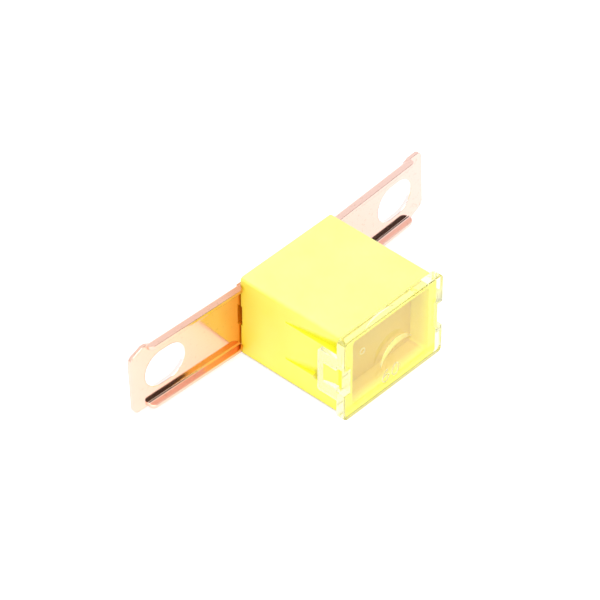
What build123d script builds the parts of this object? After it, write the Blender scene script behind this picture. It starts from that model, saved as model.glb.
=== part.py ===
from build123d import *
import os
from math import cos, radians, sin, sqrt, tan

# Bolt-in cartridge fuse, in millimetres, lying on one broad side.
# X runs along the two terminals, the window faces -Y and +Z is up.

# Moulded housing, with a shallow recess behind the window and a deep chamber open at the rear
HOUSING_WIDTH = 16.7
HOUSING_HEIGHT = 12.6
HOUSING_DEPTH = 16.55
SIDE_WALL = 1.35
BROAD_WALL = 1.1
RECESS_DEPTH = 2.9
PARTITION = 1.2
LONG_EDGE_RADIUS = 0.5
REAR_EDGE_RADIUS = 0.15
RECESS_DRAFT = 1
CHAMBER_DRAFT = 0.5
CAVITY_CORNER = 0.6
REAR_GROOVE_HEIGHT = 3.2
REAR_GROOVE_DEPTH = 0.28

# Plate pressed into the rear of the chamber, with slots for the blades
REAR_PLATE = 1.6
REAR_PLATE_CLEARANCE = 0.02
REAR_PANEL_WIDTH = 9.0
REAR_PANEL_HEIGHT = 6.6
REAR_PANEL_CORNER = 0.6
REAR_PANEL_DEPTH = 0.35
REAR_PANEL_BEVEL = 20
BLADE_CLEARANCE = 0.12

# Guide ribs on the broad walls of the chamber, beside the blades
RIB_WIDTH = 0.6
RIB_RISE = 0.7
RIB_LENGTH = 8.2

# Tapered pockets in each side, with a flat ledge along one edge
POCKET_LEVELS = (3.4, -2.55)
POCKET_ENDS = (16.0, 13.2)
POCKET_START = 7.6
POCKET_START_DEPTH = 0.1
POCKET_START_HEIGHT = 0.5
POCKET_DEPTH_SLOPE = 0.115
POCKET_HEIGHT = 2.5
PORT_LENGTH = 0.8
PORT_HEIGHT = 1.3
PORT_DEPTH = 0.95
PORT_BACK = 12.9
PORT_LEVEL = -2.25

# Catch in the middle of each side
CATCH_HEIGHT = 2.5
CATCH_RISE = 0.68
CATCH_FRONT_GAP = 0.1
CATCH_TOE = 0.12

# Clear cover, a flat plate with one latch arm on each side
COVER_WIDTH = 18.15
COVER_HEIGHT = 12.75
COVER_THICKNESS = 1.42
COVER_GAP = 0.03
COVER_CORNER = 0.8
COVER_EDGE_RADIUS = 0.2
ARM_HEIGHT = 6.7
ARM_LENGTH = 3.0
ARM_CORNER = 0.35
ARM_CLEARANCE = 0.03
ARM_WINDOW_HEIGHT = 3.0
ARM_BAR = 0.9
COVER_NOTCH_HEIGHT = 4.0
COVER_NOTCH_DEPTH = 1.07

# Raised crescent on the front of the cover: a low dome with a round cut out of it
ARCH_RADIUS = 3.8
ARCH_RIGHT = 1.0
ARCH_DOWN = 3.1
ARCH_TURN = 105.5
ARCH_HALF_SPAN = 52
ARCH_WIDTH = 1.0
ARCH_RISE = 0.2
ARCH_CUT_DRAFT = 15

# Fuse link, one folded stamping
SHEET = 0.5
SHEET_BEND = 0.55
BLADE_SPREAD = 12.7
BLADE_HEIGHT = 9.6
BRIDGE_DEPTH = 5.2
NECK_HEIGHT = 2.2
NECK_LENGTH = 7.0
NECK_CORNER = 0.9
NECK_OFFSET = 0.7
LEG_REACH = 26.8
LEG_HEIGHT = 9.96
LEG_TOE_BACK = 2.5
LEG_GAP = 0.04
FLANGE_GAP = 0.04
FLANGE_HEIGHT = 1.46
FLANGE_SPLAY = 5
FLANGE_STOP = 24.1
FLANGE_END_RADIUS = 0.7
TIP_CHAMFER_LENGTH = 2.1
TIP_CHAMFER_DROP = 0.95
TIP_LEAN = 0.4
TIP_RADIUS = 0.9
SLOT_SPACING = 42.2
SLOT_LENGTH = 6.7
SLOT_WIDTH = 5.4

# Tin pill clinched on the neck of the link
PILL_LENGTH = 2.2
PILL_THICKNESS = 0.8
PILL_CLAW = 0.35
PILL_LAP = 0.35
PILL_EDGE_RADIUS = 0.15

# Places worked out from the sizes above
toe = radians(LEG_TOE_BACK)
blade_x = BLADE_SPREAD / 2
leg_back = LEG_GAP + SHEET + (LEG_REACH - blade_x) * tan(toe)
front_reach = HOUSING_DEPTH + COVER_GAP + COVER_THICKNESS + ARCH_RISE
rear_y = (front_reach - leg_back) / 2
front_y = rear_y - HOUSING_DEPTH
mid_z = HOUSING_HEIGHT / 2
side_x = HOUSING_WIDTH / 2
cavity_x = side_x - SIDE_WALL
cavity_z = mid_z - BROAD_WALL
arm_rear_y = front_y + ARM_LENGTH
plate_rear_y = front_y - COVER_GAP
plate_front_y = plate_rear_y - COVER_THICKNESS
bridge_y = front_y + BRIDGE_DEPTH + SHEET / 2
leg_y = rear_y + LEG_GAP + SHEET / 2

os.makedirs("parts", exist_ok=True)

# Housing
with BuildPart() as housing:
    with BuildSketch(Plane.XZ.offset(-rear_y)):
        with Locations((0, mid_z)):
            RectangleRounded(HOUSING_WIDTH, HOUSING_HEIGHT, LONG_EDGE_RADIUS)
    extrude(amount=HOUSING_DEPTH)
    fillet(housing.faces().sort_by(Axis.Y)[-1].edges(), radius=REAR_EDGE_RADIUS)

    # Recess behind the window and the chamber for the link, each drafted from its own mouth
    with BuildSketch(Plane.XZ.offset(-front_y)):
        with Locations((0, mid_z)):
            RectangleRounded(2 * cavity_x, 2 * cavity_z, CAVITY_CORNER)
    extrude(amount=-RECESS_DEPTH, taper=RECESS_DRAFT, mode=Mode.SUBTRACT)
    chamber_depth = HOUSING_DEPTH - RECESS_DEPTH - PARTITION
    with BuildSketch(Plane.XZ.offset(-rear_y)):
        with Locations((0, mid_z)):
            RectangleRounded(2 * cavity_x, 2 * cavity_z, CAVITY_CORNER)
    extrude(amount=chamber_depth, taper=CHAMBER_DRAFT, mode=Mode.SUBTRACT)

    # Ribs on the broad walls that guide the edges of each blade
    rib_x = blade_x - SHEET / 2 - RIB_WIDTH / 2
    rib_height = BROAD_WALL / 2 + RIB_RISE
    with BuildSketch(Plane.XZ.offset(REAR_PLATE - rear_y)):
        with Locations((0, mid_z)):
            with GridLocations(2 * rib_x, HOUSING_HEIGHT - BROAD_WALL - rib_height, 2, 2):
                Rectangle(RIB_WIDTH, rib_height)
    extrude(amount=RIB_LENGTH)

    # Shallow groove across the middle of both side walls at the rear
    with BuildSketch(Plane.XZ.offset(-rear_y)):
        with Locations((0, mid_z)):
            Rectangle(HOUSING_WIDTH, REAR_GROOVE_HEIGHT)
    extrude(amount=REAR_GROOVE_DEPTH, mode=Mode.SUBTRACT)

    # Pockets, the same on both sides when turned half a turn about Y
    pocket_open = 0.2
    for side in (-1, 1):
        for level, pocket_end in zip(POCKET_LEVELS, POCKET_ENDS):
            ledge = mid_z - side * level
            deepest = POCKET_START_DEPTH + POCKET_DEPTH_SLOPE * (pocket_end - POCKET_START)
            stations = (
                (POCKET_START, POCKET_START_DEPTH, POCKET_START_HEIGHT),
                (pocket_end, deepest, POCKET_HEIGHT),
            )
            for back, depth, height in stations:
                with BuildSketch(Plane.XZ.offset(back - rear_y)):
                    with BuildLine():
                        Polyline(
                            (side * side_x, ledge - side * height),
                            (side * (side_x + pocket_open), ledge - side * height),
                            (side * (side_x + pocket_open), ledge),
                            (side * (side_x - depth), ledge),
                        )
                        Spline(
                            (side * (side_x - depth), ledge),
                            (side * side_x, ledge - side * height),
                            tangents=[(0, -side), (0, -side)],
                        )
                    make_face()
            loft(mode=Mode.SUBTRACT)
        port_plane = Plane(
            origin=(side * side_x, rear_y - PORT_BACK, mid_z - side * PORT_LEVEL),
            x_dir=(0, 0, 1),
            z_dir=(side, 0, 0),
        )
        with BuildSketch(port_plane):
            SlotOverall(PORT_HEIGHT, PORT_LENGTH)
        extrude(amount=-PORT_DEPTH, mode=Mode.SUBTRACT)

    # Catch in the middle of each side, steep towards the rear
    catch_rear = arm_rear_y - ARM_BAR
    catch_front = front_y + CATCH_FRONT_GAP
    with BuildSketch(Plane.XY.offset(mid_z - CATCH_HEIGHT / 2)):
        with BuildLine():
            Polyline(
                (side_x - SIDE_WALL / 2, catch_rear),
                (side_x + CATCH_RISE, catch_rear),
                (side_x + CATCH_TOE, catch_front),
                (side_x - SIDE_WALL / 2, catch_front),
                close=True,
            )
        make_face()
        mirror(about=Plane.YZ)
    extrude(amount=CATCH_HEIGHT)
housing.part.label = "housing"
export_step(housing.part, "parts/housing.step")

# Rear plate
with BuildPart() as rear_plate:
    with BuildSketch(Plane.XZ.offset(-rear_y)):
        with Locations((0, mid_z)):
            RectangleRounded(
                2 * (cavity_x - REAR_PLATE_CLEARANCE),
                2 * (cavity_z - REAR_PLATE_CLEARANCE),
                CAVITY_CORNER,
            )
    extrude(amount=REAR_PLATE, taper=CHAMBER_DRAFT)
    with BuildSketch(Plane.XZ.offset(-rear_y)):
        with Locations((0, mid_z)):
            with GridLocations(BLADE_SPREAD, 0, 2, 1):
                Rectangle(SHEET + 2 * BLADE_CLEARANCE, BLADE_HEIGHT + 2 * BLADE_CLEARANCE)
    extrude(amount=REAR_PLATE, mode=Mode.SUBTRACT)

    # Sunk panel between the blades, where the plate is pushed in
    with BuildSketch(Plane.XZ.offset(-rear_y)):
        with Locations((0, mid_z)):
            RectangleRounded(REAR_PANEL_WIDTH, REAR_PANEL_HEIGHT, REAR_PANEL_CORNER)
    extrude(amount=REAR_PANEL_DEPTH, taper=REAR_PANEL_BEVEL, mode=Mode.SUBTRACT)
rear_plate.part.label = "rear_plate"
export_step(rear_plate.part, "parts/rear_plate.step")

# Cover
with BuildPart() as cover:
    with BuildSketch(Plane.XZ.offset(-plate_rear_y)):
        with Locations((0, COVER_HEIGHT / 2)):
            RectangleRounded(COVER_WIDTH, COVER_HEIGHT, COVER_CORNER)
    extrude(amount=COVER_THICKNESS)
    plate_ends = cover.faces().sort_by(Axis.Y)
    fillet(plate_ends[0].edges() + plate_ends[-1].edges(), radius=COVER_EDGE_RADIUS)

    # Latch arms along the housing's sides
    arm_inner = side_x + ARM_CLEARANCE
    arm_root_y = (plate_front_y + plate_rear_y) / 2
    for side in (-1, 1):
        arm_plane = Plane(
            origin=(side * arm_inner, (arm_rear_y + arm_root_y) / 2, mid_z),
            x_dir=(0, 1, 0),
            z_dir=(side, 0, 0),
        )
        with BuildSketch(arm_plane):
            RectangleRounded(arm_rear_y - arm_root_y, ARM_HEIGHT, ARM_CORNER)
        extrude(amount=COVER_WIDTH / 2 - arm_inner)

    # Window through each arm, which the catch fills, and the notch that opens it to the front
    window_rear = arm_rear_y - ARM_BAR
    with BuildSketch(Plane.YZ.offset(-COVER_WIDTH)):
        with Locations(((window_rear + plate_rear_y) / 2, mid_z)):
            Rectangle(window_rear - plate_rear_y, ARM_WINDOW_HEIGHT)
    extrude(amount=2 * COVER_WIDTH, mode=Mode.SUBTRACT)
    with BuildSketch(Plane.XZ.offset(-plate_rear_y)):
        with Locations((0, mid_z)):
            with GridLocations(COVER_WIDTH - COVER_NOTCH_DEPTH, 0, 2, 1):
                Rectangle(COVER_NOTCH_DEPTH, COVER_NOTCH_HEIGHT)
    extrude(amount=COVER_THICKNESS, mode=Mode.SUBTRACT)

    # Dome that stands out to the upper left of the round cut
    outer_reach = ARCH_RADIUS + ARCH_WIDTH
    horn_reach = ARCH_RADIUS * cos(radians(ARCH_HALF_SPAN))
    dome_shift = (outer_reach**2 - ARCH_RADIUS**2) / (2 * (outer_reach - horn_reach))
    dome_radius = outer_reach - dome_shift
    arch_x = ARCH_RIGHT + dome_shift * cos(radians(ARCH_TURN))
    arch_z = mid_z - ARCH_DOWN + dome_shift * sin(radians(ARCH_TURN))
    dome_sphere = (dome_radius**2 - (ARCH_RADIUS - dome_shift) ** 2) / (2 * ARCH_RISE)
    dome_rise = dome_sphere - sqrt(dome_sphere**2 - dome_radius**2)
    halfway = dome_radius / 2
    halfway_rise = dome_rise - dome_sphere + sqrt(dome_sphere**2 - halfway**2)
    dome_plane = Plane(origin=(arch_x, plate_front_y, arch_z), x_dir=(1, 0, 0), z_dir=(0, 0, 1))
    with BuildSketch(dome_plane):
        with BuildLine():
            Polyline((0, -dome_rise), (0, 0), (dome_radius, 0))
            ThreePointArc((dome_radius, 0), (halfway, -halfway_rise), (0, -dome_rise))
        make_face()
    revolve(axis=Axis((arch_x, 0, arch_z), (0, 1, 0)))
    with BuildSketch(Plane.XZ.offset(-plate_front_y)):
        with Locations((ARCH_RIGHT, mid_z - ARCH_DOWN)):
            Circle(ARCH_RADIUS)
    extrude(amount=2 * dome_rise, taper=-ARCH_CUT_DRAFT, mode=Mode.SUBTRACT)
cover.part.label = "cover"
export_step(cover.part, "parts/cover.step")

# Fuse link
with BuildPart() as fuse_link:
    # Bridge across the window, blades back through the rear wall and the roots of both legs
    flange_start = side_x + FLANGE_GAP - blade_x
    flange_stop = FLANGE_STOP - blade_x
    tip = (LEG_REACH - blade_x) / cos(toe)
    root_x = blade_x + flange_start * cos(toe)
    root_y = leg_y + flange_start * sin(toe)
    with BuildSketch(Plane.XY.offset(mid_z - BLADE_HEIGHT / 2)):
        with BuildLine():
            FilletPolyline(
                (-root_x, root_y),
                (-blade_x, leg_y),
                (-blade_x, bridge_y),
                (blade_x, bridge_y),
                (blade_x, leg_y),
                (root_x, root_y),
                radius=SHEET_BEND,
            )
        trace(line_width=SHEET)
    extrude(amount=BLADE_HEIGHT)

    # Rounded bites above and below leave a neck that steps down across the bridge
    bite_height = BLADE_HEIGHT - NECK_HEIGHT
    bite_width = (NECK_LENGTH + NECK_HEIGHT) / 2
    for side in (-1, 1):
        with BuildSketch(Plane.XZ.offset(-bridge_y)):
            with Locations((side * NECK_OFFSET, mid_z + side * (NECK_HEIGHT + bite_height) / 2)):
                RectangleRounded(NECK_LENGTH - 2 * NECK_OFFSET, bite_height, NECK_CORNER)
        extrude(amount=SHEET, both=True, mode=Mode.SUBTRACT)

    # Legs, the same on both sides when turned half a turn about Y
    half = LEG_HEIGHT / 2
    flange_front = FLANGE_HEIGHT - SHEET / 2
    for side in (-1, 1):
        leg_plane = Plane(
            origin=(side * blade_x, leg_y, mid_z),
            x_dir=(side * cos(toe), sin(toe), 0),
            z_dir=(side * sin(toe), -cos(toe), 0),
        )

        # Channel section with both long edges bent towards the window, a little short of square
        section_plane = Plane(
            origin=leg_plane.from_local_coords((flange_start, 0, 0)),
            x_dir=leg_plane.y_dir,
            z_dir=leg_plane.x_dir,
        )
        flange_mid = half - SHEET / 2
        flange_out = flange_mid + flange_front * tan(radians(FLANGE_SPLAY))
        with BuildSketch(section_plane):
            with BuildLine():
                FilletPolyline(
                    (-flange_out, flange_front),
                    (-flange_mid, 0),
                    (flange_mid, 0),
                    (flange_out, flange_front),
                    radius=SHEET_BEND,
                )
            trace(line_width=SHEET)
        extrude(amount=flange_stop - flange_start)

        # Flat tip with one long chamfer and one round corner
        with BuildSketch(leg_plane):
            with BuildLine():
                Polyline(
                    (flange_stop - 1, half - SHEET),
                    (flange_stop, half),
                    (tip - TIP_LEAN, half),
                    (tip, TIP_CHAMFER_DROP - half),
                    (tip - TIP_CHAMFER_LENGTH, -half),
                    (flange_stop, -half),
                    (flange_stop - 1, SHEET - half),
                    close=True,
                )
            make_face()
            fillet(vertices().group_by(Axis.X)[-2:], radius=TIP_RADIUS)
        extrude(amount=SHEET / 2, both=True)

    # Rounded ends on the flanges
    short_edges = fuse_link.edges().filter_by(lambda edge: abs(edge.length - SHEET) < 0.01)
    flange_ends = short_edges.filter_by(lambda edge: abs(edge.tangent_at(0.5).Z) > 0.9)
    fillet(flange_ends, radius=FLANGE_END_RADIUS)

    # Slots for the studs, cut along Y
    with BuildSketch(Plane.XZ.offset(-rear_y)):
        with Locations((0, mid_z)):
            with GridLocations(SLOT_SPACING, 0, 2, 1):
                SlotOverall(SLOT_LENGTH, SLOT_WIDTH)
    extrude(amount=-2 * leg_back, mode=Mode.SUBTRACT)
fuse_link.part.label = "fuse_link"
export_step(fuse_link.part, "parts/fuse_link.step")

# Tin pill
with BuildPart() as tin_pill:
    pill_back = bridge_y + SHEET / 2 + PILL_THICKNESS
    with BuildSketch(Plane.XZ.offset(-pill_back)):
        with Locations((0, mid_z)):
            Rectangle(PILL_LENGTH, NECK_HEIGHT + 2 * PILL_CLAW)
    extrude(amount=PILL_THICKNESS + SHEET + PILL_CLAW)
    fillet(tin_pill.edges(), radius=PILL_EDGE_RADIUS)
    with BuildSketch(Plane.XZ.offset(-(bridge_y + SHEET / 2))):
        with Locations((0, mid_z)):
            Rectangle(2 * PILL_LENGTH, NECK_HEIGHT)
    extrude(amount=SHEET, mode=Mode.SUBTRACT)
    with BuildSketch(Plane.XZ.offset(SHEET / 2 - bridge_y)):
        with Locations((0, mid_z)):
            Rectangle(2 * PILL_LENGTH, NECK_HEIGHT - 2 * PILL_LAP)
    extrude(amount=2 * PILL_CLAW, mode=Mode.SUBTRACT)
tin_pill.part.label = "tin_pill"
export_step(tin_pill.part, "parts/tin_pill.step")
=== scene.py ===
"""Dresses the bolt-in cartridge fuse: its yellow housing, clear cover, copper link and tin pill."""

from __future__ import annotations

import logging
import math
from dataclasses import dataclass
from enum import Enum
from typing import Any, Iterable

import bpy
from mathutils import Matrix, Vector

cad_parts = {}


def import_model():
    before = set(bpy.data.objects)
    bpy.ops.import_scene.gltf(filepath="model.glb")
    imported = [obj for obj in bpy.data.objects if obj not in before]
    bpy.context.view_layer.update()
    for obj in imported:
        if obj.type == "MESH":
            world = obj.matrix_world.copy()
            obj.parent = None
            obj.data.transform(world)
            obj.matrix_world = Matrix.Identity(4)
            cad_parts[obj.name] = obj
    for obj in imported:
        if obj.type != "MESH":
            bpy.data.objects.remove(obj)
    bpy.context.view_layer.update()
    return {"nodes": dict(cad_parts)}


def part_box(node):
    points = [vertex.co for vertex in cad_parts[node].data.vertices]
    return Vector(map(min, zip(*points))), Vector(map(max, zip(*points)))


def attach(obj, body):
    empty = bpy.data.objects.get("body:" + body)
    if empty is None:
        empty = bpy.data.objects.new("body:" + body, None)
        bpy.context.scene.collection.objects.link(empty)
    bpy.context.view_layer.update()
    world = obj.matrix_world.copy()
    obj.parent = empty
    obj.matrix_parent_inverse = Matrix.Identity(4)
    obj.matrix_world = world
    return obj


Colour = tuple[float, float, float]
Point = tuple[float, float, float]
Levels = tuple[float, float]
Arc = tuple[float, float, float, float, float, float]

LOG = logging.getLogger("cartridge_fuse")
MM = 0.001
LIGHT_BOUNCES = 24
EVEN: Point = (1.0, 1.0, 1.0)
FEELER_RAYS = 8  # samples of a node that feels for the shapes around it
SQUARE_ON = 0.7  # part of the normal above which a face counts as turned that way
WHITE = (1.0, 1.0, 1.0, 1.0)
QUARTER_TURN = 90.0
# Numerals in a square of one unit, as arcs: centre, two radii, start and end angle in degrees.
NUMERALS: dict[str, tuple[Arc, ...]] = {
    "0": ((0.5, 0.5, 0.5, 0.5, 0.0, 360.0),),
    "6": ((0.5, 0.3, 0.5, 0.3, 0.0, 360.0), (0.82, 0.3, 0.82, 0.7, 180.0, 100.0)),
}


class Ray(Enum):
    """Kinds of ray that see the pale surroundings directly."""

    CAMERA = "Is Camera Ray"
    GLOSSY = "Is Glossy Ray"
    TRANSMISSION = "Is Transmission Ray"


class NodeTree:
    """A material's or world's node tree, built one named node at a time."""

    def __init__(self, tree: bpy.types.NodeTree) -> None:
        """Empties a node tree and keeps it for building."""
        self.tree = tree
        self.tree.nodes.clear()

    def fill(self, socket: bpy.types.NodeSocket, value: Any) -> None:
        """Gives an input its value.

        Args:
            socket: The input.
            value: A socket to link to it, or a number, colour or vector to set it to.
        """
        if isinstance(value, bpy.types.NodeSocket):
            self.tree.links.new(value, socket)
        else:
            socket.default_value = value

    def add(self, kind: str, **values: Any) -> bpy.types.Node:
        """Adds a node and sets its properties and input sockets.

        Args:
            kind: The node's type name.
            **values: Property names, or socket names with spaces written as underscores.

        Returns:
            The new node.
        """
        node = self.tree.nodes.new(kind)
        sockets = {s.name.replace(" ", "_"): s for s in node.inputs if s.enabled}
        for name, value in values.items():
            if name in sockets:
                self.fill(sockets[name], value)
            else:
                setattr(node, name, value)
        return node

    def math(self, operation: str, first: Any, second: Any = 0.0) -> bpy.types.NodeSocket:
        """Adds a Math node.

        Args:
            operation: The node's operation, such as MULTIPLY.
            first: A socket or number for the first input.
            second: A socket or number for the second input.

        Returns:
            The result socket.
        """
        node = self.add("ShaderNodeMath", operation=operation)
        self.fill(node.inputs[0], first)
        self.fill(node.inputs[1], second)
        return node.outputs[0]

    def size_of(self, value: bpy.types.NodeSocket) -> bpy.types.NodeSocket:
        """The value without its sign."""
        return self.math("ABSOLUTE", value)

    def all_of(self, first: Any, *others: Any) -> bpy.types.NodeSocket:
        """Multiplies values of 0 to 1, so that each of them has to hold.

        Args:
            first: The first value.
            *others: The other values.

        Returns:
            The product's socket.
        """
        for other in others:
            first = self.math("MULTIPLY", first, other)
        return first

    def ramp(
        self, factor: bpy.types.NodeSocket, stops: Iterable[tuple[float, Colour]]
    ) -> bpy.types.NodeSocket:
        """Adds a colour ramp.

        Args:
            factor: The socket that drives the ramp.
            stops: Position and colour of each stop, from low to high.

        Returns:
            The colour socket.
        """
        node = self.add("ShaderNodeValToRGB", Fac=factor)
        elements = node.color_ramp.elements
        for index, (position, colour) in enumerate(stops):
            element = elements[index] if index < len(elements) else elements.new(position)
            element.position = position
            element.color = (*colour, 1.0)
        return node.outputs["Color"]

    def mottled(
        self, factor: bpy.types.NodeSocket, dark: Colour, light: Colour, ends: Levels = (0.3, 0.7)
    ) -> bpy.types.NodeSocket:
        """Spreads a dark and a light shade between two levels of a noise."""
        return self.ramp(factor, zip(ends, (dark, light)))

    def mix(self, share: Any, first: Any, second: Any) -> bpy.types.NodeSocket:
        """Mixes two colours, each a socket or four numbers.

        Args:
            share: The share of the second colour.
            first: The first colour.
            second: The second colour.

        Returns:
            The colour socket.
        """
        node = self.tree.nodes.new("ShaderNodeMix")
        node.data_type = "RGBA"
        sockets = {s.identifier: s for s in node.inputs}
        for name, value in (("Factor_Float", share), ("A_Color", first), ("B_Color", second)):
            self.fill(sockets[name], value)
        return next(s for s in node.outputs if s.identifier == "Result_Color")

    def tinted(self, share: Any, base: Any, tint: Colour) -> bpy.types.NodeSocket:
        """Lays a plain colour over another, by a share of 0 to 1."""
        return self.mix(share, base, (*tint, 1.0))

    def levels(self, factor: bpy.types.NodeSocket, low: Any, high: Any) -> bpy.types.NodeSocket:
        """Maps a value of 0 to 1 onto another range, whose ends are numbers or sockets."""
        node = self.add("ShaderNodeMapRange", Value=factor, To_Min=low, To_Max=high)
        return node.outputs["Result"]

    def fade(
        self,
        value: bpy.types.NodeSocket,
        ends: Levels,
        share: float = 1.0,
        kind: str = "LINEAR",
        least: float = 0.0,
    ) -> bpy.types.NodeSocket:
        """Maps the way between two levels of a value onto a share.

        Args:
            value: The socket to map.
            ends: The levels that give the least and the full share, in either order.
            share: The full share.
            kind: The node's interpolation type.
            least: The least share.

        Returns:
            The share's socket.
        """
        node = self.add(
            "ShaderNodeMapRange",
            interpolation_type=kind,
            Value=value,
            From_Min=ends[0],
            From_Max=ends[1],
            To_Min=least,
            To_Max=share,
        )
        return node.outputs["Result"]

    def place(self) -> bpy.types.Node:
        """Adds a node that gives the place on the object as X, Y and Z, in metres."""
        coords = self.add("ShaderNodeTexCoord")
        return self.add("ShaderNodeSeparateXYZ", Vector=coords.outputs["Object"])

    def facing(self) -> bpy.types.Node:
        """Adds a node that gives the way the surface faces as X, Y and Z."""
        geometry = self.add("ShaderNodeNewGeometry")
        return self.add("ShaderNodeSeparateXYZ", Vector=geometry.outputs["True Normal"])

    def off_middle(self, height: bpy.types.NodeSocket, node: str) -> bpy.types.NodeSocket:
        """Measures how far a height is above or below the middle of a CAD node, without a sign."""
        return self.size_of(self.math("SUBTRACT", height, middle_height(node)))

    def noise(self, size: float, detail: float, stretch: Point = EVEN) -> bpy.types.NodeSocket:
        """Adds a noise texture over the object.

        Args:
            size: The size of the largest blotches, in metres.
            detail: The octaves of finer noise.
            stretch: How much narrower the blotches are along X, Y and Z.

        Returns:
            The noise value's socket.
        """
        coords = self.add("ShaderNodeTexCoord")
        mapping = self.add("ShaderNodeMapping", Vector=coords.outputs["Object"], Scale=stretch)
        vector = mapping.outputs["Vector"]
        return self.add("ShaderNodeTexNoise", Vector=vector, Scale=1.0 / size, Detail=detail).outputs[0]

    def bump(
        self,
        height: bpy.types.NodeSocket,
        depth: float,
        strength: float,
        normal: bpy.types.NodeSocket | None = None,
    ) -> bpy.types.NodeSocket:
        """Adds a bump node.

        Args:
            height: The height, from 0 to 1.
            depth: The depth in metres that a height of 1 stands for.
            strength: How strongly the bump shows.
            normal: The normal that the bump is laid on, if not the surface's own.

        Returns:
            The normal socket.
        """
        node = self.add("ShaderNodeBump", Height=height, Distance=depth, Strength=strength)
        if normal is not None:
            self.fill(node.inputs["Normal"], normal)
        return node.outputs["Normal"]

    def blend(
        self, share: bpy.types.NodeSocket, first: bpy.types.Node, second: bpy.types.Node
    ) -> bpy.types.Node:
        """Mixes two shaders.

        Args:
            share: The share of the second shader.
            first: The first shader's node.
            second: The second shader's node.

        Returns:
            The mixing node.
        """
        node = self.add("ShaderNodeMixShader", Fac=share)
        self.fill(node.inputs[1], first.outputs[0])
        self.fill(node.inputs[2], second.outputs[0])
        return node

    def finish(self, shader: bpy.types.Node, kind: str = "ShaderNodeOutputMaterial") -> bpy.types.Node:
        """Ends the tree with a shader on the surface, and returns the output node."""
        return self.add(kind, Surface=shader.outputs[0])


def middle_height(node: str) -> float:
    """The height of the middle of a CAD node, in metres."""
    low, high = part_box(node)
    return (low[2] + high[2]) / 2


def new_material(name: str) -> tuple[bpy.types.Material, NodeTree]:
    """Makes an empty node material.

    Args:
        name: The material's name.

    Returns:
        The material and the builder of its node tree.
    """
    material = bpy.data.materials.new(name)
    material.use_nodes = True
    return material, NodeTree(material.node_tree)


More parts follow.
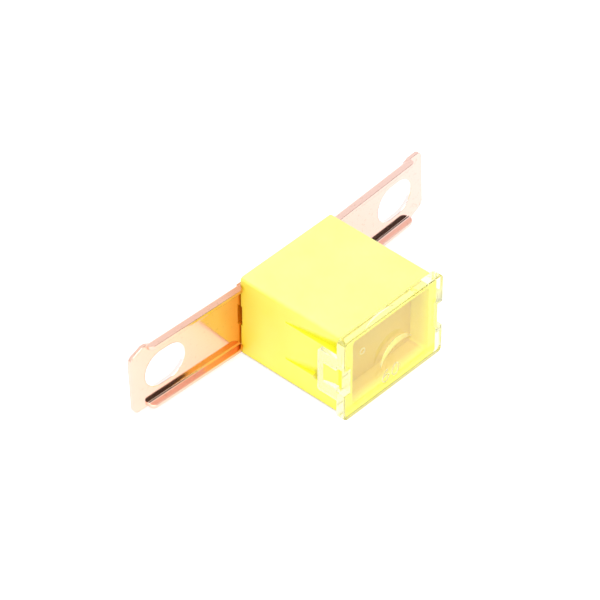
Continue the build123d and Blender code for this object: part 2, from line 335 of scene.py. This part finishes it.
@dataclass(frozen=True)
class MouldedNylon:
    """Yellow injection-moulded nylon, satin, with a fine spark-eroded grain, and painted light and shade:
    paler tops, shade in hollows, recess, ports and foot, and orange light from the copper on the sides.
    """

    name: str = "yellow_nylon"
    # Painted top light: faces turned up take the paler tone, as if lit more from above; the other tone is
    # the sides' own.
    lit_top_tone: tuple[Colour, Colour] = ((0.98, 0.96, 0.27), (0.98, 0.97, 0.31))
    side_tone: tuple[Colour, Colour] = ((0.96, 0.93, 0.13), (0.97, 0.95, 0.17))
    lit_top_slope: Levels = (0.3, 0.95)
    # Painted shade: a deeper, more saturated yellow laid into hollows such as the pockets, found by ambient
    # occlusion.
    hollow_shade: Colour = (0.98, 0.96, 0.04)
    hollow_shade_reach: float = 1.6 * MM
    hollow_shade_levels: Levels = (0.95, 0.45)
    # Painted light: orange laid on the side walls near the legs, for light bounced from the copper.
    copper_light: Colour = (0.95, 0.62, 0.03)
    copper_light_ahead: float = 4.5 * MM
    copper_light_beyond: float = 1.125 * MM
    copper_light_share: float = 0.5
    # Painted shade: a brown for the contact shade along the foot of the sides and, at a share, for the
    # shade in the ports.
    contact_shade: Colour = (0.5, 0.37, 0.18)
    contact_shade_height: Levels = (0.5 * MM, 0.2 * MM)
    contact_shade_turn: float = 0.3
    # The ports' painted shade: an oval at this share of the brown, at this place and size.
    port_share: float = 0.4
    port_back: float = 12.55 * MM
    port_level: float = 2.25 * MM
    port_half_length: float = 0.55 * MM
    port_half_height: float = 0.62 * MM
    # Painted shade: amber laid on the recess behind the window, deepening inwards, less on its walls.
    recess_shade_tone: Colour = (0.76, 0.53, 0.04)
    recess_shade_depths: Levels = (0.3 * MM, 1.6 * MM)
    side_share: float = 0.35
    floor_share: float = 0.8
    recess_depth: float = 2.95 * MM
    recess_half_width: float = 7.1 * MM
    recess_half_height: float = 5.3 * MM
    mottle_size: float = 5 * MM
    mottle_detail: float = 2.0
    grain_size: float = 0.14 * MM
    grain_detail: float = 4.0
    grain_depth: float = 0.006 * MM
    grain_strength: float = 0.5
    roughness: Levels = (0.36, 0.5)
    ior: float = 1.53
    glow_share: float = 0.25
    glow_reach: Point = (1.0, 0.8, 0.25)
    glow_depth: float = 1.2 * MM

    def build(self) -> bpy.types.Material:
        """Builds the material.

        Returns:
            The material.
        """
        material, tree = new_material(self.name)
        mottle = tree.noise(self.mottle_size, self.mottle_detail)
        grain = tree.noise(self.grain_size, self.grain_detail)
        facing = tree.facing()
        # Painted top light: faces turned up are mixed towards the paler tone.
        upward = tree.fade(facing.outputs["Z"], self.lit_top_slope)
        side_tone = tree.mottled(mottle, *self.side_tone)
        lit_top_tone = tree.mottled(mottle, *self.lit_top_tone)
        painted_recess_shade = self.painted_recess_shade(tree, facing)
        outside = tree.math("SUBTRACT", 1.0, painted_recess_shade)
        skin = tree.mix(upward, side_tone, lit_top_tone)
        # Painted shade in the hollows, outside the recess.
        skin = tree.tinted(tree.all_of(self.painted_hollow_shade(tree), outside), skin, self.hollow_shade)
        # Painted copper light on the sides near the legs.
        skin = tree.tinted(self.painted_copper_light(tree, facing.outputs["X"]), skin, self.copper_light)
        # Painted contact shade at the foot and painted shade at the ports.
        skin = tree.tinted(self.painted_contact_and_port_shade(tree, facing.outputs["X"]), skin, self.contact_shade)
        shader = tree.add(
            "ShaderNodeBsdfPrincipled",
            # Painted shade in the recess.
            Base_Color=tree.tinted(painted_recess_shade, skin, self.recess_shade_tone),
            Roughness=tree.levels(grain, *self.roughness),
            IOR=self.ior,
            Subsurface_Weight=self.glow_share,
            Subsurface_Radius=self.glow_reach,
            Subsurface_Scale=self.glow_depth,
            Normal=tree.bump(grain, self.grain_depth, self.grain_strength),
        )
        tree.finish(shader)
        return material

    def painted_hollow_shade(self, tree: NodeTree) -> bpy.types.NodeSocket:
        """A value that is 1 deep in a hollow, such as a pocket, where a deeper, more saturated yellow is
        painted as shade, and 0 outside.
        """
        air = tree.add("ShaderNodeAmbientOcclusion", Distance=self.hollow_shade_reach, samples=FEELER_RAYS)
        return tree.fade(air.outputs["AO"], self.hollow_shade_levels)

    def painted_copper_light(self, tree: NodeTree, aside: bpy.types.NodeSocket) -> bpy.types.NodeSocket:
        """Finds the side walls beside the legs, which are painted orange: painted light bounced from the
        copper legs.

        Args:
            tree: The tree to add the nodes to.
            aside: The X part of the surface's normal.

        Returns:
            A value's socket: highest at the rear edge of the sides, 0 elsewhere.
        """
        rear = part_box("housing")[1][1]
        ends = (rear - self.copper_light_ahead, rear + self.copper_light_beyond)
        near = tree.fade(tree.place().outputs["Y"], ends, self.copper_light_share, "SMOOTHSTEP")
        return tree.all_of(near, tree.math("GREATER_THAN", tree.size_of(aside), SQUARE_ON))

    def painted_contact_and_port_shade(self, tree: NodeTree, aside: bpy.types.NodeSocket) -> bpy.types.NodeSocket:
        """Finds the lowest edge of the housing's sides and the two ports, where shade is painted: contact
        shade at the foot and a dark oval in and beside each port.

        Args:
            tree: The tree to add the nodes to.
            aside: The X part of the surface's normal.

        Returns:
            A value's socket: 1 at the foot of the sides, less in the ports and 0 elsewhere.
        """
        place = tree.place()
        shaded_foot = tree.fade(place.outputs["Z"], self.contact_shade_height)
        beside = tree.math("GREATER_THAN", tree.size_of(aside), self.contact_shade_turn)
        level = tree.math("MULTIPLY", tree.math("SIGN", place.outputs["X"]), self.port_level)
        above = tree.math("SUBTRACT", place.outputs["Z"], middle_height("housing"))
        up = tree.math("DIVIDE", tree.math("SUBTRACT", above, level), self.port_half_height)
        along = tree.math("SUBTRACT", place.outputs["Y"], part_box("housing")[1][1] - self.port_back)
        along = tree.math("DIVIDE", along, self.port_half_length)
        distance = tree.math("ADD", tree.math("MULTIPLY", up, up), tree.math("MULTIPLY", along, along))
        port = tree.all_of(tree.math("LESS_THAN", distance, 1.0), self.port_share)
        return tree.math("MAXIMUM", tree.all_of(shaded_foot, beside), port)

    def painted_recess_shade(self, tree: NodeTree, facing: bpy.types.Node) -> bpy.types.NodeSocket:
        """Finds the recess behind the window, where painted shade turns the resin's colour to amber.

        Args:
            tree: The tree to add the nodes to.
            facing: The node that gives the surface's normal in X, Y and Z.

        Returns:
            A value's socket: 1 at the back of the recess, less on its walls, 0 at its mouth and elsewhere.
        """
        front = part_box("housing")[0][1]
        place = tree.place()
        above = tree.off_middle(place.outputs["Z"], "housing")
        side = tree.math("GREATER_THAN", tree.size_of(facing.outputs["X"]), SQUARE_ON)
        floor = tree.math("GREATER_THAN", tree.size_of(facing.outputs["Z"]), SQUARE_ON)
        return tree.all_of(
            tree.math("LESS_THAN", tree.size_of(place.outputs["X"]), self.recess_half_width),
            tree.math("LESS_THAN", above, self.recess_half_height),
            tree.math("LESS_THAN", place.outputs["Y"], front + self.recess_depth),
            tree.fade(place.outputs["Y"], (front + self.recess_shade_depths[0], front + self.recess_shade_depths[1])),
            tree.levels(side, 1.0, self.side_share),
            tree.levels(floor, 1.0, self.floor_share),
        )


@dataclass(frozen=True)
class ClearPolycarbonate:
    """Clear moulded polycarbonate, faintly wavy, with hairline scuffs, painted grey shade on the edges, a
    painted olive shade band at the foot, and white mixed into the arms as painted highlight.
    """

    name: str = "clear_polycarbonate"
    tint: Colour = (0.99, 0.99, 0.985)
    body: Colour = (0.97, 0.95, 0.4)
    density: float = 100.0
    ior: float = 1.58
    wave_size: float = 3 * MM
    wave_detail: float = 1.0
    wave_depth: float = 0.002 * MM
    wave_strength: float = 0.35
    scuff_size: float = 0.9 * MM
    scuff_detail: float = 3.0
    scuff_stretch: Point = (1.0, 1.0, 9.0)
    roughness: Levels = (0.0, 0.05)
    # Painted shade: grey on the rounded edges of the plate, for the light they bend away.
    edge_shade: Colour = (0.48, 0.48, 0.42)
    edge_radius: float = 0.12 * MM
    edge_band: Levels = (0.95, 0.85)
    edge_passes: float = 0.5
    rim_width: float = 1.6 * MM
    rim_height: float = 1.2 * MM
    plate: float = 1.7 * MM
    grip_depth: float = 0.185 * MM
    grip_roughness: float = 0.3
    # Painted shade: olive for the shaded foot of the housing seen through the cover.
    foot_shade_tint: Colour = (0.38, 0.33, 0.08)
    foot_height: float = 0.75 * MM
    front_skin: float = 0.5 * MM
    # Painted highlight: white diffuse mixed into the arms and plate sides, most on their edges.
    side_turn: float = 0.9
    edge_highlight_share: float = 0.6
    frosted_share: float = 0.22
    deepest_ray: float = 9.0

    def build(self) -> bpy.types.Material:
        """Builds the material.

        Returns:
            The material.
        """
        material, tree = new_material(self.name)
        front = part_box("cover")[0][1]
        depth = tree.place().outputs["Y"]
        path = tree.add("ShaderNodeLightPath")
        early = tree.math("LESS_THAN", path.outputs["Ray Depth"], self.edge_passes)
        edges = tree.all_of(self.edges(tree), early)
        on_plate = tree.math("LESS_THAN", depth, front + self.plate)
        on_grip = tree.math("LESS_THAN", depth, front + self.grip_depth)
        # Painted shade: grey on the rim's rounded edges, for camera rays only.
        colour = tree.tinted(tree.all_of(edges, on_plate), (*self.tint, 1.0), self.edge_shade)
        # Painted shade along the foot of the cover's front face.
        colour = tree.tinted(self.shaded_foot(tree), colour, self.foot_shade_tint)
        scuffs = tree.noise(self.scuff_size, self.scuff_detail, self.scuff_stretch)
        waves = tree.noise(self.wave_size, self.wave_detail)
        resin = tree.add(
            "ShaderNodeBsdfPrincipled",
            Base_Color=colour,
            Roughness=tree.levels(on_grip, tree.levels(scuffs, *self.roughness), self.grip_roughness),
            IOR=self.ior,
            Transmission_Weight=1.0,
            Normal=tree.bump(waves, self.wave_depth, self.wave_strength),
        )
        # White diffuse, mixed in as a frost and, on the edges, as painted highlight.
        white = tree.add("ShaderNodeBsdfDiffuse", Color=(*self.tint, 1.0))
        share = tree.levels(edges, self.frosted_share, self.edge_highlight_share)
        rounding_and_highlight = tree.blend(tree.all_of(share, self.frosted_and_highlit(tree, on_plate)), resin, white)
        clear = tree.add("ShaderNodeBsdfTransparent", Color=(*self.tint, 1.0))
        output = tree.finish(tree.blend(self.passing(tree, path), rounding_and_highlight, clear))
        body = tree.add("ShaderNodeVolumeAbsorption", Color=(*self.body, 1.0), Density=self.density)
        tree.fill(output.inputs["Volume"], body.outputs[0])
        return material

    def passing(self, tree: NodeTree, path: bpy.types.Node) -> bpy.types.NodeSocket:
        """Finds the light that goes straight through: shadow and diffuse rays, and trapped ones.

        Args:
            tree: The tree to add the nodes to.
            path: The light path node.

        Returns:
            A value's socket: 1 for light that goes straight through, 0 for the rest.
        """
        passing = tree.math("MAXIMUM", path.outputs["Is Shadow Ray"], path.outputs["Is Diffuse Ray"])
        trapped = tree.math("GREATER_THAN", path.outputs["Ray Depth"], self.deepest_ray)
        return tree.math("MAXIMUM", passing, trapped)

    def frosted_and_highlit(self, tree: NodeTree, on_plate: bpy.types.NodeSocket) -> bpy.types.NodeSocket:
        """A value that is 1 on the latch arms and the plate's sides, where white is mixed in, a light frost
        that is stronger on their edges as painted highlight, else 0.
        """
        sideways = tree.math("GREATER_THAN", tree.size_of(tree.facing().outputs["X"]), self.side_turn)
        return tree.math("MAXIMUM", tree.math("SUBTRACT", 1.0, on_plate), sideways)

    def shaded_foot(self, tree: NodeTree) -> bpy.types.NodeSocket:
        """Finds the olive band along the foot of the cover's front face, where shade is painted for the
        housing's shaded foot seen through the cover.

        Args:
            tree: The tree to add the nodes to.

        Returns:
            A value's socket: 1 in the band, 0 elsewhere.
        """
        place = tree.place()
        front = tree.math("LESS_THAN", place.outputs["Y"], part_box("cover")[0][1] + self.front_skin)
        above = tree.math("GREATER_THAN", place.outputs["Z"], 0.0)
        below = tree.math("LESS_THAN", place.outputs["Z"], self.foot_height)
        return tree.all_of(front, above, below)

    def edges(self, tree: NodeTree) -> bpy.types.NodeSocket:
        """Finds the rounded edges of the rim and the latch arms, which bend the light away, where painted
        grey shade and painted white highlight are laid.

        Args:
            tree: The tree to add the nodes to.

        Returns:
            A value's socket: 1 on the edges, 0 on flat faces and in the middle of the window.
        """
        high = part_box("cover")[1]
        rounded = tree.add("ShaderNodeBevel", Radius=self.edge_radius, samples=FEELER_RAYS)
        facing = tree.add("ShaderNodeSeparateXYZ", Vector=rounded.outputs["Normal"])
        squareness: Any = 0.0
        for axis in "XYZ":
            squareness = tree.math("MAXIMUM", tree.size_of(facing.outputs[axis]), squareness)
        turned = tree.fade(squareness, self.edge_band)
        place = tree.place()
        aside = tree.size_of(place.outputs["X"])
        above = tree.off_middle(place.outputs["Z"], "cover")
        rim = tree.math(
            "MAXIMUM",
            tree.math("GREATER_THAN", aside, high[0] - self.rim_width),
            tree.math("GREATER_THAN", above, high[2] - middle_height("cover") - self.rim_height),
        )
        return tree.all_of(turned, rim)


@dataclass(frozen=True)
class StampedCopper:
    """Bright rolled copper, with rolling lines along the legs, tones along the legs with painted
    reflection, deep orange beside the left of the housing, and painted highlight on the slot walls.
    """

    name: str = "stamped_copper"
    reach: float = 27 * MM
    # Painted reflection: the copper tones shift along X, deep orange beside the housing's left for the
    # mirrored yellow housing.
    copper_and_reflection_tones: tuple[tuple[float, Colour], ...] = (
        (-27 * MM, (0.96, 0.66, 0.55)),
        (-17 * MM, (0.95, 0.58, 0.45)),
        (-12 * MM, (0.94, 0.55, 0.39)),
        (-8.5 * MM, (0.9, 0.42, 0.22)),
        (8.5 * MM, (0.95, 0.66, 0.57)),
        (27 * MM, (0.96, 0.68, 0.6)),
    )
    blotch_size: float = 4 * MM
    blotch_detail: float = 3.0
    blotch_shift: float = 0.03
    speck: Colour = (0.62, 0.4, 0.26)
    speck_size: float = 0.5 * MM
    speck_detail: float = 2.0
    speck_levels: Levels = (0.62, 0.74)
    speck_share: float = 0.35
    line_length: float = 6 * MM
    line_detail: float = 5.0
    line_stretch: Point = (1.0, 30.0, 30.0)
    line_depth: float = 0.004 * MM
    line_strength: float = 0.35
    edge_radius: float = 0.2 * MM
    # Painted highlight: near white on the walls of the slots.
    slot_highlight: Colour = (0.99, 0.93, 0.9)
    slot_places: Levels = (16.5 * MM, 25 * MM)
    slot_half_height: float = 3.0 * MM
    slot_turn: float = 0.3
    roughness: Levels = (0.06, 0.16)

    def build(self) -> bpy.types.Material:
        """Builds the material.

        Returns:
            The material.
        """
        material, tree = new_material(self.name)
        colour = tree.tinted(self.specks(tree), self.sheet(tree), self.speck)
        lines = tree.noise(self.line_length, self.line_detail, self.line_stretch)
        rounding_and_highlight = tree.add("ShaderNodeBevel", Radius=self.edge_radius, samples=FEELER_RAYS)
        shader = tree.add(
            "ShaderNodeBsdfPrincipled",
            # Painted highlight on the slot walls.
            Base_Color=tree.tinted(self.painted_slot_highlights(tree), colour, self.slot_highlight),
            Metallic=1.0,
            Roughness=tree.levels(lines, *self.roughness),
            Normal=tree.bump(lines, self.line_depth, self.line_strength, rounding_and_highlight.outputs["Normal"]),
        )
        tree.finish(shader)
        return material

    def sheet(self, tree: NodeTree) -> bpy.types.NodeSocket:
        """Colours the sheet by the place from left to right, with uneven borders; the tones stand partly
        for painted reflection, the deep orange beside the housing's left for the yellow housing mirrored
        there.

        Args:
            tree: The tree to add the nodes to.

        Returns:
            The colour socket.
        """
        along = tree.fade(tree.place().outputs["X"], (-self.reach, self.reach))
        blotch = tree.noise(self.blotch_size, self.blotch_detail)
        shift = tree.levels(blotch, -self.blotch_shift, self.blotch_shift)
        stops = [(0.5 + place / (2 * self.reach), tint) for place, tint in self.copper_and_reflection_tones]
        return tree.ramp(tree.math("ADD", along, shift), stops)

    def specks(self, tree: NodeTree) -> bpy.types.NodeSocket:
        """The share of tarnish, which is above 0 only in scattered specks."""
        specks = tree.noise(self.speck_size, self.speck_detail)
        return tree.fade(specks, self.speck_levels, self.speck_share)

    def painted_slot_highlights(self, tree: NodeTree) -> bpy.types.NodeSocket:
        """Finds the walls of the slots, painted near white as their highlight.

        Args:
            tree: The tree to add the nodes to.

        Returns:
            A value's socket: 1 on the walls, 0 elsewhere.
        """
        place = tree.place()
        aside = tree.size_of(place.outputs["X"])
        above = tree.off_middle(place.outputs["Z"], "fuse_link")
        return tree.all_of(
            tree.math("LESS_THAN", tree.size_of(tree.facing().outputs["Y"]), self.slot_turn),
            tree.math("GREATER_THAN", aside, self.slot_places[0]),
            tree.math("LESS_THAN", aside, self.slot_places[1]),
            tree.math("LESS_THAN", above, self.slot_half_height),
        )


@dataclass(frozen=True)
class DullTin:
    """Cast tin, dull and slightly dimpled."""

    name: str = "dull_tin"
    dark: Colour = (0.55, 0.55, 0.54)
    light: Colour = (0.76, 0.76, 0.74)
    dimple_size: float = 0.4 * MM
    dimple_detail: float = 3.0
    dimple_depth: float = 0.03 * MM
    dimple_strength: float = 0.5
    roughness: Levels = (0.3, 0.5)

    def build(self) -> bpy.types.Material:
        """Builds the material.

        Returns:
            The material.
        """
        material, tree = new_material(self.name)
        dimples = tree.noise(self.dimple_size, self.dimple_detail)
        shader = tree.add(
            "ShaderNodeBsdfPrincipled",
            Base_Color=tree.mottled(dimples, self.dark, self.light),
            Metallic=1.0,
            Roughness=tree.levels(dimples, *self.roughness),
            Normal=tree.bump(dimples, self.dimple_depth, self.dimple_strength),
        )
        tree.finish(shader)
        return material


@dataclass(frozen=True)
class WhiteCard:
    """White card for the floor, lifted to full white where it is seen directly and unshaded."""

    name: str = "white_card"
    colour: Colour = (0.88, 0.88, 0.88)
    lift: float = 0.36
    mirrored_lift: float = 0.3

    def build(self) -> bpy.types.Material:
        """Builds the material.

        Returns:
            The material.
        """
        material, tree = new_material(self.name)
        card = tree.add("ShaderNodeBsdfDiffuse", Color=(*self.colour, 1.0))
        path = tree.add("ShaderNodeLightPath")
        lift = tree.levels(path.outputs[Ray.CAMERA.value], self.mirrored_lift, self.lift)
        lift = tree.all_of(seen_directly(tree), lift)
        glow = tree.add("ShaderNodeEmission", Color=WHITE, Strength=lift)
        both = tree.add("ShaderNodeAddShader")
        tree.fill(both.inputs[0], card.outputs[0])
        tree.fill(both.inputs[1], glow.outputs[0])
        tree.finish(both)
        return material


def seen_directly(tree: NodeTree) -> bpy.types.NodeSocket:
    """A value that is 1 for camera, glossy and transmission rays.

    Args:
        tree: The tree to add the nodes to.

    Returns:
        The value's socket.
    """
    path = tree.add("ShaderNodeLightPath")
    seen: Any = 0.0
    for ray in Ray:
        seen = tree.math("MAXIMUM", path.outputs[ray.value], seen)
    return seen


def direction(azimuth: float, elevation: float) -> Vector:
    """A unit vector from the fuse, with the azimuth measured from the window towards the right.

    Args:
        azimuth: The azimuth, in degrees.
        elevation: The elevation, in degrees.

    Returns:
        The vector.
    """
    a = math.radians(azimuth)
    e = math.radians(elevation)
    return Vector((math.sin(a) * math.cos(e), -math.cos(a) * math.cos(e), math.sin(e)))


def dress(obj: bpy.types.Object, material: bpy.types.Material) -> None:
    """Gives an object one material in place of all it has."""
    obj.data.materials.clear()
    obj.data.materials.append(material)


@dataclass
class Moulding:
    """A CAD node that keeps its own shape and gets a finish."""

    node: str
    finish: bpy.types.Material
    slot: str

    def build(self, nodes: dict[str, bpy.types.Object]) -> None:
        """Dresses the node.

        Args:
            nodes: The CAD nodes by name.
        """
        dress(nodes[self.node], self.finish)
        LOG.info("dressed %s in %s", self.node, self.finish.name)


@dataclass
class CoverMarks:
    """Raised numerals and a gate mark on the front of the clear cover."""

    text: str = "60"
    centre_right: float = -0.6 * MM
    centre_up: float = -3.5 * MM
    digit_width: float = 1.15 * MM
    digit_height: float = 1.75 * MM
    digit_pitch: float = 1.75 * MM
    slant: float = 0.1
    stroke: float = 0.11 * MM
    plate_offset: float = 0.19 * MM
    housing_mid: float = 6.3 * MM
    steps: int = 24
    bead_steps: int = 3
    join_share: float = 0.1
    gate_right: float = -5.9 * MM
    gate_up: float = 3.5 * MM
    gate_radius: float = 0.42 * MM
    gate_stroke: float = 0.055 * MM

    def numeral_points(self, digit: str, left: float) -> list[list[Vector]]:
        """Centre lines of one numeral, on the cover's front plane.

        Args:
            digit: The numeral.
            left: Its left edge, in metres from the centre of the number.

        Returns:
            One list of points for each stroke, in X and Z.
        """
        lines = []
        for across, up, wide, tall, start, end in NUMERALS[digit]:
            line = []
            for step in range(self.steps + 1):
                angle = math.radians(start + (end - start) * step / self.steps)
                z = (up + tall * math.sin(angle) - 0.5) * self.digit_height
                x = left + (across + wide * math.cos(angle)) * self.digit_width + self.slant * z
                line.append(Vector((x, 0.0, z)))
            lines.append(line)
        return lines

    def tube(self, name: str, lines: list[list[Vector]], radius: float) -> bpy.types.Object:
        """Makes a round bead along lines.

        Args:
            name: The object's name.
            lines: The points of each centre line, in the row frame.
            radius: The bead's radius.

        Returns:
            The curve object.
        """
        curve = bpy.data.curves.new(name, "CURVE")
        curve.dimensions = "3D"
        curve.bevel_depth = radius
        curve.bevel_resolution = self.bead_steps
        curve.use_fill_caps = True
        for line in lines:
            closed = (line[0] - line[-1]).length < radius * self.join_share
            points = line[:-1] if closed else line
            spline = curve.splines.new("POLY")
            spline.points.add(len(points) - 1)
            spline.use_cyclic_u = closed
            for point, place in zip(spline.points, points):
                point.co = (*place, 1.0)
        obj = bpy.data.objects.new(name, curve)
        bpy.context.collection.objects.link(obj)
        return obj

    def numerals(self, front: float) -> bpy.types.Object:
        """Makes the numerals.

        Args:
            front: The place of the beads' middle along Y.

        Returns:
            The curve object.
        """
        width = self.digit_pitch * (len(self.text) - 1) + self.digit_width
        centre = Vector((self.centre_right, front, self.housing_mid + self.centre_up))
        lines = []
        for index, digit in enumerate(self.text):
            for line in self.numeral_points(digit, index * self.digit_pitch - width / 2):
                lines.append([centre + point for point in line])
        return self.tube("rating_numerals", lines, self.stroke)

    def gate(self, front: float) -> bpy.types.Object:
        """Makes the ring that the moulding gate left.

        Args:
            front: The place of the ring along Y.

        Returns:
            The curve object.
        """
        centre = Vector((self.gate_right, front, self.housing_mid + self.gate_up))
        ring = []
        for step in range(self.steps + 1):
            angle = 2 * math.pi * step / self.steps
            ring.append(centre + Vector((math.cos(angle), 0.0, math.sin(angle))) * self.gate_radius)
        return self.tube("gate_mark", [ring], self.gate_stroke)

    def build(self, material: bpy.types.Material) -> None:
        """Builds the numerals and the gate mark.

        Args:
            material: The cover's material.
        """
        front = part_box("cover")[0][1] + self.plate_offset
        for piece in (self.numerals(front), self.gate(front)):
            dress(piece, material)
            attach(piece, "root")
            LOG.info("built %s", piece.name)


@dataclass
class Studio:
    """White floor, even white surroundings and two large soft lamps."""

    floor_half: float = 3.0
    world_level: float = 0.72
    key_place: Point = (-0.15, -0.35, 0.75)
    key_size: float = 0.6
    key_power: float = 4.0
    fill_place: Point = (-0.75, -0.35, 0.35)
    fill_size: float = 0.6
    fill_power: float = 1.2
    opening_azimuth: float = 15.0
    opening_elevation: float = 20.0
    opening_half_width: float = 0.78
    opening_half_height: float = 0.5
    opening_blur: float = 0.12
    opening_level: float = 0.04
    far_outside: float = 9.0

    def build(self) -> None:
        """Builds the floor, the lamps and the world."""
        self.floor()
        self.lamp("key_lamp", self.key_place, self.key_size, self.key_power)
        self.lamp("fill_lamp", self.fill_place, self.fill_size, self.fill_power)
        self.surroundings()
        LOG.info("built the studio")

    def floor(self) -> None:
        """Lays the white card that the fuse lies on."""
        half = self.floor_half
        mesh = bpy.data.meshes.new("floor")
        outline = [(-half, -half, 0.0), (half, -half, 0.0), (half, half, 0.0), (-half, half, 0.0)]
        mesh.from_pydata(outline, [], [(0, 1, 2, 3)])
        card = bpy.data.objects.new("floor", mesh)
        bpy.context.collection.objects.link(card)
        dress(card, WhiteCard().build())

    def lamp(self, name: str, place: Point, size: float, power: float) -> None:
        """Hangs a square soft lamp that faces the fuse.

        Args:
            name: The lamp's name.
            place: Its place, in metres.
            size: Its edge length, in metres.
            power: Its power, in watts.
        """
        data = bpy.data.lights.new(name, "AREA")
        data.size = size
        data.energy = power
        lamp = bpy.data.objects.new(name, data)
        lamp.location = place
        lamp.rotation_mode = "QUATERNION"
        lamp.rotation_quaternion = (-Vector(place)).to_track_quat("-Z", "Y")
        bpy.context.collection.objects.link(lamp)

    def surroundings(self) -> None:
        """Makes an even white tent, with a dark opening at its front right that only gloss picks up."""
        world = bpy.data.worlds.new("surroundings")
        bpy.context.scene.world = world
        world.use_nodes = True
        tree = NodeTree(world.node_tree)
        mirrored = tree.add("ShaderNodeLightPath").outputs[Ray.GLOSSY.value]
        tent = tree.math("MAXIMUM", tree.math("SUBTRACT", 1.0, mirrored), self.opening(tree))
        level = tree.levels(seen_directly(tree), self.world_level, tent)
        sky = tree.add("ShaderNodeBackground", Color=WHITE, Strength=level)
        tree.finish(sky, "ShaderNodeOutputWorld")

    def along(self, tree: NodeTree, axis: Vector) -> bpy.types.NodeSocket:
        """Measures how far a direction in the world points along an axis.

        Args:
            tree: The world's tree.
            axis: The axis, of unit length.

        Returns:
            The value's socket, from -1 to 1.
        """
        node = tree.add("ShaderNodeVectorMath", operation="DOT_PRODUCT")
        tree.fill(node.inputs[0], tree.add("ShaderNodeTexCoord").outputs["Generated"])
        tree.fill(node.inputs[1], axis)
        return node.outputs["Value"]

    def opening(self, tree: NodeTree) -> bpy.types.NodeSocket:
        """Finds the dark oval opening of the tent by direction.

        Args:
            tree: The world's tree.

        Returns:
            A value's socket: 1 on the tent, and the opening's level inside it.
        """
        ahead = direction(self.opening_azimuth, self.opening_elevation)
        aside = direction(self.opening_azimuth + QUARTER_TURN, 0.0)
        above = ahead.cross(aside)
        behind = tree.math("LESS_THAN", self.along(tree, ahead), 0.0)
        outward = tree.math("MULTIPLY", behind, self.far_outside)
        for axis, reach in ((aside, self.opening_half_width), (above, self.opening_half_height)):
            share = tree.math("DIVIDE", self.along(tree, axis), reach)
            outward = tree.math("ADD", tree.math("MULTIPLY", share, share), outward)
        ends = (1.0 - self.opening_blur, 1.0 + self.opening_blur)
        return tree.fade(outward, ends, 1.0, "SMOOTHSTEP", self.opening_level)


@dataclass
class PhotoCamera:
    """A long lens at the photograph's viewing angle."""

    azimuth: float = -47.41
    elevation: float = 41.36
    distance: float = 507.5 * MM
    lens: float = 245.5
    sensor_width: float = 36.0
    clip: Levels = (0.01, 20.0)
    target_ahead_of_rear: float = 7.0 * MM
    left: float = 3.45 * MM
    up: float = 1.02 * MM

    def build(self) -> None:
        """Builds the camera and makes it the scene's own."""
        back = direction(self.azimuth, self.elevation)
        right = direction(self.azimuth + QUARTER_TURN, 0.0)
        above = back.cross(right)
        data = bpy.data.cameras.new("photo_camera")
        data.lens = self.lens
        data.sensor_width = self.sensor_width
        data.clip_start, data.clip_end = self.clip
        camera = bpy.data.objects.new("photo_camera", data)
        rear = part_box("housing")[1][1]
        target = Vector((0.0, rear - self.target_ahead_of_rear, middle_height("housing")))
        aim = target - right * self.left + above * self.up
        turn = Matrix((right, above, back)).transposed()
        camera.matrix_world = Matrix.Translation(aim + back * self.distance) @ turn.to_4x4()
        bpy.context.collection.objects.link(camera)
        bpy.context.scene.camera = camera
        LOG.info("placed the camera")


def main() -> None:
    logging.basicConfig(level=logging.INFO, format="%(name)s: %(message)s")
    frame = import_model()
    nodes = frame["nodes"]
    nylon = MouldedNylon().build()
    clear = ClearPolycarbonate().build()
    for moulding in (
        Moulding("housing", nylon, "housing_plastic"),
        Moulding("rear_plate", nylon, "housing_plastic"),
        Moulding("cover", clear, "clear_plastic"),
        Moulding("fuse_link", StampedCopper().build(), "copper"),
        Moulding("tin_pill", DullTin().build(), "tin"),
    ):
        moulding.build(nodes)
    CoverMarks().build(clear)
    Studio().build()
    PhotoCamera().build()
    scene = bpy.context.scene
    scene.view_settings.view_transform = "Standard"
    scene.cycles.max_bounces = LIGHT_BOUNCES
    scene.cycles.glossy_bounces = LIGHT_BOUNCES
    scene.cycles.transmission_bounces = LIGHT_BOUNCES


if __name__ == "__main__":
    main()
